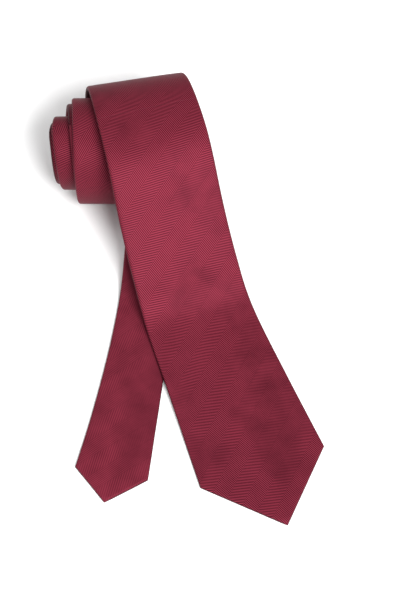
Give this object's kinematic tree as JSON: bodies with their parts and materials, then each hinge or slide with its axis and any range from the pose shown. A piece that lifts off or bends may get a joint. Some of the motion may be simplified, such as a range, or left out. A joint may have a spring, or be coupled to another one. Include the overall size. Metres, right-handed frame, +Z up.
{
  "type": "necktie",
  "caption": "Herringbone silk necktie wound into a loose doubled roll, with its wide and narrow pointed blades left out flat.",
  "frame": {"origin": "on the table, under the middle of the tie's box", "axes": "+Z up from the table; +X along the roll; -Y the way the blades point"},
  "size_m": [0.1744, 0.3054, 0.0769],
  "materials": {
    "tie_cloth": "satin",
    "interlining": "matte",
    "tipping": "satin",
    "label": "satin",
    "thread": "satin"
  },
  "bodies": {
    "roll": {"front_shell_rolled": "tie_cloth", "neck_shell": "tie_cloth", "tail_shell_rolled": "tie_cloth", "front_interlining_rolled": "interlining", "tail_interlining_rolled": "interlining", "front_slip_stitch_rolled": "thread", "tail_slip_stitch_rolled": "thread", "front_neck_seam": "thread", "tail_neck_seam": "thread"},
    "front_blade": {"front_shell_free": "tie_cloth", "front_interlining_free": "interlining", "front_tipping": "tipping", "front_slip_stitch_free": "thread", "front_bar_tack": "thread", "keeper_loop": "tie_cloth", "keeper_loop_stitches": "thread", "care_label": "label", "care_label_stitches": "thread", "front_tipping_stitches": "thread", "front_slack_loop": "thread"},
    "tail_blade": {"tail_shell_free": "tie_cloth", "tail_interlining_free": "interlining", "tail_tipping": "tipping", "tail_slip_stitch_free": "thread", "tail_bar_tack": "thread", "tail_tipping_stitches": "thread"}
  },
  "joints": [
    {"name": "front_blade_lift", "type": "hinge", "parent": "roll", "child": "front_blade", "pos_m": [-0.02404, 0.1063, 0.0766], "axis": [-0.9679, -0.2514, 0], "range_deg": [0, 75]},
    {"name": "tail_blade_lift", "type": "hinge", "parent": "roll", "child": "tail_blade", "pos_m": [-0.03652, -0.07168, 0.0032], "axis": [-0.9844, 0.176, 0], "range_deg": [0, 75]}
  ]
}
